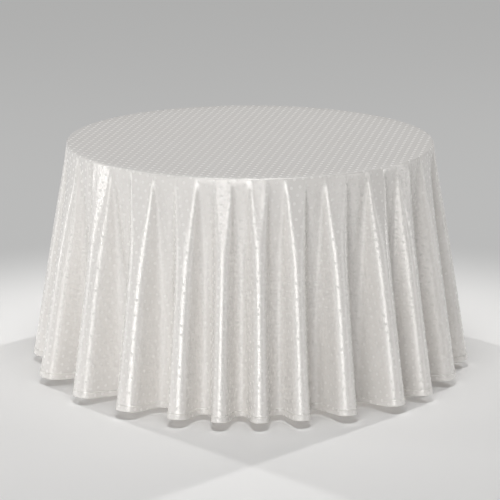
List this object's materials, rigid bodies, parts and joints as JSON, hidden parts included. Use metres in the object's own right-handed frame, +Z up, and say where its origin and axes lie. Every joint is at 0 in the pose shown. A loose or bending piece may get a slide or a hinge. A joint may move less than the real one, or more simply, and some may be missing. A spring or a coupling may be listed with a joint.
{
  "type": "tablecloth on a table",
  "caption": "Round table with folding legs under a floor-length round satin tablecloth that hangs in deep soft folds.",
  "frame": {"origin": "on the floor under the middle of the table", "axes": "+Z up; -Y is the front; the left leg set, at -X, is the outer one that folds first"},
  "size_m": [1.4204, 1.4192, 0.7639],
  "materials": {
    "satin_cloth": "satin",
    "plywood": "matte",
    "edge_plastic": "satin",
    "cleat_wood": "matte",
    "bracket_zinc": "satin",
    "stay_zinc": "satin",
    "rivet_steel": "satin",
    "screw_steel": "satin",
    "leg_enamel": "satin",
    "foot_rubber": "matte"
  },
  "bodies": {
    "table_top": {"top_board": "plywood", "edge_moulding": "edge_plastic", "cleat_left": "cleat_wood", "cleat_screws_left": "screw_steel", "bracket_screws_left": "screw_steel", "anchor_screws_left": "screw_steel", "anchor_rivets_left": "rivet_steel", "pivot_bracket_left_front": "bracket_zinc", "stay_anchor_left_front": "bracket_zinc", "pivot_bracket_left_rear": "bracket_zinc", "stay_anchor_left_rear": "bracket_zinc", "cleat_right": "cleat_wood", "cleat_screws_right": "screw_steel", "bracket_screws_right": "screw_steel", "anchor_screws_right": "screw_steel", "anchor_rivets_right": "rivet_steel", "pivot_bracket_right_front": "bracket_zinc", "stay_anchor_right_front": "bracket_zinc", "pivot_bracket_right_rear": "bracket_zinc", "stay_anchor_right_rear": "bracket_zinc"},
    "tablecloth": {"tablecloth": "satin_cloth", "hem_band": "satin_cloth"},
    "leg_set_left": {"pivot_tube_left": "leg_enamel", "stretcher_left": "leg_enamel", "leg_left_front": "leg_enamel", "foot_cap_left_front": "foot_rubber", "leg_left_rear": "leg_enamel", "foot_cap_left_rear": "foot_rubber"},
    "upper_stays_left": {"elbow_rivets_left": "rivet_steel", "upper_stay_left_front": "stay_zinc", "upper_stay_left_rear": "stay_zinc"},
    "lower_stays_left": {"leg_pins_left": "rivet_steel", "lower_stay_left_front": "stay_zinc", "lower_stay_left_rear": "stay_zinc"},
    "leg_set_right": {"pivot_tube_right": "leg_enamel", "stretcher_right": "leg_enamel", "leg_right_front": "leg_enamel", "foot_cap_right_front": "foot_rubber", "leg_right_rear": "leg_enamel", "foot_cap_right_rear": "foot_rubber"},
    "upper_stays_right": {"elbow_rivets_right": "rivet_steel", "upper_stay_right_front": "stay_zinc", "upper_stay_right_rear": "stay_zinc"},
    "lower_stays_right": {"leg_pins_right": "rivet_steel", "lower_stay_right_front": "stay_zinc", "lower_stay_right_rear": "stay_zinc"}
  },
  "joints": [
    {"name": "cloth_lift", "type": "slide", "parent": "table_top", "child": "tablecloth", "axis": [0, 0, 1], "range_m": [0, 0.8]},
    {"name": "fold_left", "type": "hinge", "parent": "table_top", "child": "leg_set_left", "pos_m": [-0.38, 0, 0.71], "axis": [0, -1, 0], "range_deg": [0, 96]},
    {"name": "upper_stay_turn_left", "type": "hinge", "parent": "table_top", "child": "upper_stays_left", "pos_m": [-0.04, 0, 0.71], "axis": [0, -1, 0], "range_deg": [-38.79, 0]},
    {"name": "elbow_turn_left", "type": "hinge", "parent": "upper_stays_left", "child": "lower_stays_left", "pos_m": [-0.24127, 0, 0.54829], "axis": [0, -1, 0], "range_deg": [0, 180.02]},
    {"name": "fold_right", "type": "hinge", "parent": "table_top", "child": "leg_set_right", "pos_m": [0.38, 0, 0.674], "axis": [0, 1, 0], "range_deg": [0, 96]},
    {"name": "upper_stay_turn_right", "type": "hinge", "parent": "table_top", "child": "upper_stays_right", "pos_m": [0.04, 0, 0.674], "axis": [0, 1, 0], "range_deg": [-38.79, 0]},
    {"name": "elbow_turn_right", "type": "hinge", "parent": "upper_stays_right", "child": "lower_stays_right", "pos_m": [0.24127, 0, 0.51229], "axis": [0, 1, 0], "range_deg": [0, 180.02]}
  ],
  "couplings": [
    {"joint": "upper_stay_turn_left", "follows": "fold_left", "ratio": -0.40395},
    {"joint": "elbow_turn_left", "follows": "fold_left", "ratio": 1.875},
    {"joint": "upper_stay_turn_right", "follows": "fold_right", "ratio": -0.40395},
    {"joint": "elbow_turn_right", "follows": "fold_right", "ratio": 1.875}
  ]
}
